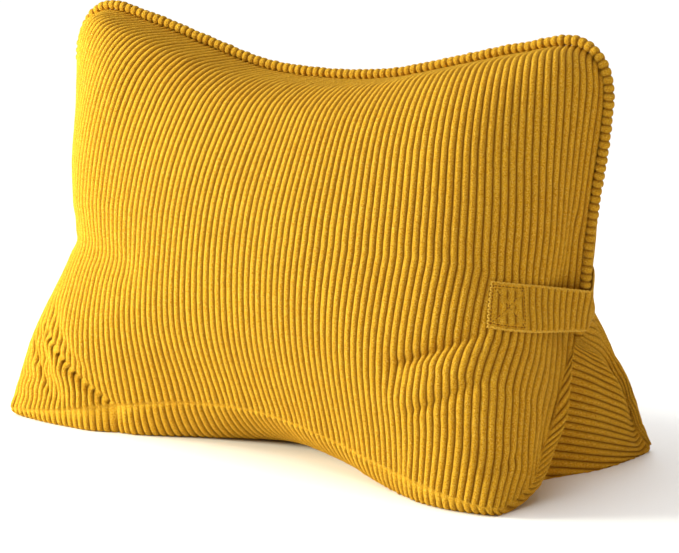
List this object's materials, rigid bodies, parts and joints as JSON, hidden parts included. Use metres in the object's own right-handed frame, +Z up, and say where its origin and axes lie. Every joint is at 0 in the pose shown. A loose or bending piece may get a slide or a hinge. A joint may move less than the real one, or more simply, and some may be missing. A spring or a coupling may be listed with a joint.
{
  "type": "triangle backrest pillow",
  "caption": "Upright filled corduroy cushion with raised ears, a drawn-in wedge-shaped end, a piped top seam and a sewn-on side handle.",
  "frame": {"origin": "on the floor, under the middle of the bounding box", "axes": "+X along the pillow's width to the side with the handle, -Y out of the front panel, +Z up"},
  "size_m": [0.6042, 0.2916, 0.3931],
  "materials": {
    "corduroy": "mustard corduroy with wide vertical wales and a short soft pile",
    "piping_corduroy": "the same corduroy rolled round a cord, with its wales across the cord",
    "handle_corduroy": "the same corduroy as a flat strap, with its wales across the strap and stitched edges"
  },
  "bodies": {
    "root": {"cushion": "corduroy", "piping": "piping_corduroy", "handle": "handle_corduroy"}
  },
  "joints": []
}
